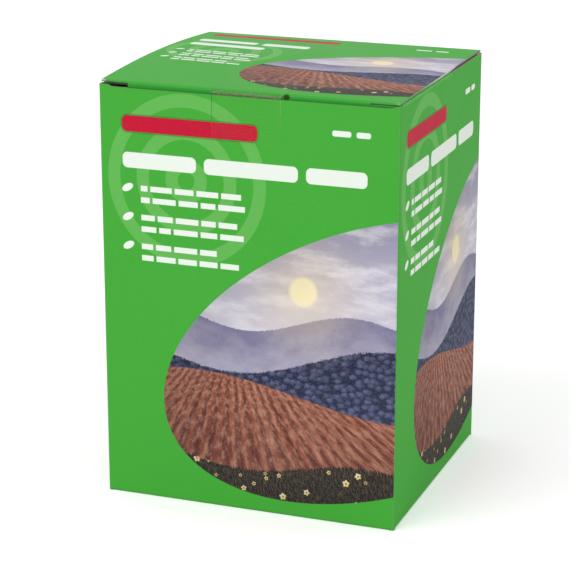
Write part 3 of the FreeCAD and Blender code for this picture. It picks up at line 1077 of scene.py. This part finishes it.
def dustFlapSheet(name, hand):
    # Half of the side crease and a flat flap, carried along the wall. Its front and rear edges are
    # functions of the distance from the crease: a step near the tip in front, a slanted cut and a round
    # corner behind.
    hinge = hingeAt["right_dust_flap_hinge"]
    tip, tipSpans = dustFlap["tip"]
    shares = panelShares(dustFlap["length"], step=dustFlap["span"])
    shares = np.unique(np.concatenate([shares, 1 - tip * evenly(tipSpans)]))
    line, _, length = foldedLine(
        (hinge[0], hinge[2]),
        90 + stock["hingeTurn"],
        1,
        [
            ("fold", 90 - stock["hingeTurn"], evenly(dustFlap["hingeSpans"]), foldRadius),
            ("run", dustFlap["length"], shares),
        ],
    )
    out = np.clip(length - hingeArc, 0, None)
    toTip = dustFlap["length"] - out
    front = flapLow.y + np.clip(dustFlap["frontStep"] - toTip, 0, None)
    rear = flapHigh.y - out * math.tan(math.radians(dustFlap["rearTaper"]))
    rear = rear - roundedBack(dustFlap["corner"], toTip)
    first, second = dustFlap["besideEdge"]
    across = np.concatenate([
        [0.0, first],
        np.linspace(second, 1 - second, dustFlap["columns"]),
        [1 - first, 1.0],
    ])
    grid = pointGrid(hand * line[:, :1], front[:, None] + (rear - front)[:, None] * across, line[:, 1:])
    kept = np.ones((len(line) - 1, len(across) - 1), bool)
    plain = np.full((*kept.shape, 4, 2), layout["plainAt"])
    maps = {"bars": plain, "print": plain}
    return boardPiece(name, grid, kept, maps, boardFinishes, board, flipped=hand < 0)


for side, hand in (("right", 1), ("left", -1)):
    flapPiece = dustFlapSheet(f"dust_flap_{side}_sheet", hand)
    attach(flapPiece, f"{side}_dust_flap")
    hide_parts(f"dust_flap_{side}")


# Clear tape


def tapeStrip():
    # A line along the lid's crown, round the front edge and down the front wall, carried across the strip.
    film = tape["lift"] + tape["film"]
    toCentre = np.array([math.sin(lidSlope), -math.cos(lidSlope)])  # of the crown
    lidEdge = np.array([lidFront, lidFold]) - foldRadius * toCentre
    bridge = (lidEdge[0] + halfDepth + tape["lift"]) / (1 - math.sin(lidSlope)) + tape["film"]
    filmRadius = crownRadius + film
    crownCentre = lidEdge + crownRadius * toCentre
    sweep = math.degrees(math.asin((tapeHigh.y - crownCentre[0]) / filmRadius) + lidSlope)
    startAngle = math.radians(90 + slopeDegrees - sweep)
    start = crownCentre + filmRadius * np.array([math.cos(startAngle), math.sin(startAngle)])
    bridgeFoot = lidEdge[1] - (bridge - tape["film"]) * math.cos(lidSlope)
    tail = bridgeFoot - tapeLow.z
    onLid, onBridge, onTail = (evenly(count) for count in tape["spans"])
    line, _, length = foldedLine(
        start,
        180 + slopeDegrees - sweep,
        1,
        [
            ("fold", sweep, onLid, filmRadius),
            ("fold", 90 - slopeDegrees, onBridge, bridge),
            ("run", tail, onTail),
        ],
    )
    x = np.linspace(tapeLow.x, tapeHigh.x, tape["columns"])
    y, z = line[:, :1], line[:, 1:]
    onWall = np.clip((lidEdge[1] - z) / (bridge * 2), 0, 1)
    belly = panelBelly((x + halfWidth) / (2 * halfWidth), (z - foldRadius) / (wallHead - foldRadius))
    grid = pointGrid(x, y - belly * onWall, z + crownLift(x, y))
    kept = np.ones((len(line) - 1, len(x) - 1), bool)
    u = np.repeat(((x - x[0]) / (x[-1] - x[0]))[None], len(line), 0)
    folds = np.array([0, math.radians(sweep) * filmRadius, length[-1] - tail, length[-1]])
    v = np.interp(length, folds, [-1, 0, 1, 2])[:, None]  # 0 to 1 round the lid's edge
    v = np.repeat(v, len(x), 1)
    maps = {"print": np.stack([cellCorners(u), cellCorners(v)], -1)}
    return boardPiece("tape_strip", grid, kept, maps, [filmFinish], tape["film"], flipped=True)


tapePiece = tapeStrip()
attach(tapePiece, "lid")
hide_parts("closing_tape")


# Floor, light and camera

studio = {
    "floorHalf": 6.0,
    "floorGap": 0.05 * mm,
    "floorTone": 0.96,
    "floorRough": 0.9,
    "floorLift": 0.3,  # added for the eye only, so that the open floor is white, and not under the carton,
    "underEdge": 0.8,  # this far inside its walls, in millimetres
    "sky": 0.72,
    "key": {"at": (-0.75, -1.05, 1.25), "size": 1.3, "power": 10.0},
    "fill": {"at": (1.3, -0.7, 0.7), "size": 1.0, "power": 1.6},
    "target": (-0.0055, 0.0, 0.0822),
    "azimuth": 20.4,
    "elevation": 17.1,
    "distance": 0.9375,
    "lens": 134.5,
}


def makeFloor():
    # A level square, a hair under the carton's foot.
    half = studio["floorHalf"]
    mesh = bpy.data.meshes.new("floor")
    corners = np.array([[-1, -1, 0], [1, -1, 0], [1, 1, 0], [-1, 1, 0]]) * half - (0, 0, studio["floorGap"])
    mesh.from_pydata(corners.tolist(), [], [[0, 1, 2, 3]])
    floor = bpy.data.objects.new("floor", mesh)
    bpy.context.scene.collection.objects.link(floor)
    paint = Paint("pale_floor")
    seen = paint.tree.nodes.new("ShaderNodeLightPath").outputs["Is Camera Ray"]
    x, y, _ = paint.parts(paint.place(mm))
    inside = studio["underEdge"]
    beside = (x.size() - halfWidth / mm).most(y.size() - halfDepth / mm).above(-inside, inside / 2)
    lift = Term(paint, seen) * beside * studio["floorLift"]
    paint.surface({"Base Color": (*(studio["floorTone"],) * 3, 1.0), "Roughness": studio["floorRough"]})
    paint.surface({"Specular IOR Level": 0.0, "Emission Color": "ffffff", "Emission Strength": lift})
    mesh.materials.append(paint.material)


def makeSky():
    # White for the eye, for reflections and through film; a plain level for light on surfaces.
    world = bpy.data.worlds.new("studio")
    bpy.context.scene.world = world
    world.use_nodes = True
    tree = world.node_tree
    background = next(node for node in tree.nodes if node.type == "BACKGROUND")
    background.inputs["Color"].default_value = (1, 1, 1, 1)
    path = tree.nodes.new("ShaderNodeLightPath")
    seen = path.outputs["Is Camera Ray"]
    for name in ("Is Glossy Ray", "Is Transmission Ray"):
        either = tree.nodes.new("ShaderNodeMath")
        either.operation = "MAXIMUM"
        tree.links.new(seen, either.inputs[0])
        tree.links.new(path.outputs[name], either.inputs[1])
        seen = either.outputs[0]
    level = tree.nodes.new("ShaderNodeMapRange")
    tree.links.new(seen, level.inputs["Value"])
    level.inputs["To Min"].default_value = studio["sky"]
    level.inputs["To Max"].default_value = 1.0
    tree.links.new(level.outputs[0], background.inputs["Strength"])


def aim(thing, target):
    thing.rotation_euler = (Vector(target) - thing.location).to_track_quat("-Z", "Y").to_euler()


def makeLamp(name, lamp):
    light = bpy.data.lights.new(name, "AREA")
    light.size = lamp["size"]
    light.energy = lamp["power"]
    holder = bpy.data.objects.new(name, light)
    bpy.context.scene.collection.objects.link(holder)
    holder.location = lamp["at"]
    aim(holder, studio["target"])


def makeCamera():
    lens = bpy.data.cameras.new("camera")
    lens.lens = studio["lens"]
    camera = bpy.data.objects.new("camera", lens)
    bpy.context.scene.collection.objects.link(camera)
    turn, tilt = math.radians(studio["azimuth"]), math.radians(studio["elevation"])
    back = np.array([math.sin(turn) * math.cos(tilt), -math.cos(turn) * math.cos(tilt), math.sin(tilt)])
    camera.location = np.array(studio["target"]) + studio["distance"] * back
    aim(camera, studio["target"])
    bpy.context.scene.camera = camera


makeFloor()
makeSky()
makeLamp("key", studio["key"])
makeLamp("fill", studio["fill"])
makeCamera()
bpy.context.scene.view_settings.view_transform = "Standard"
print("stage set")
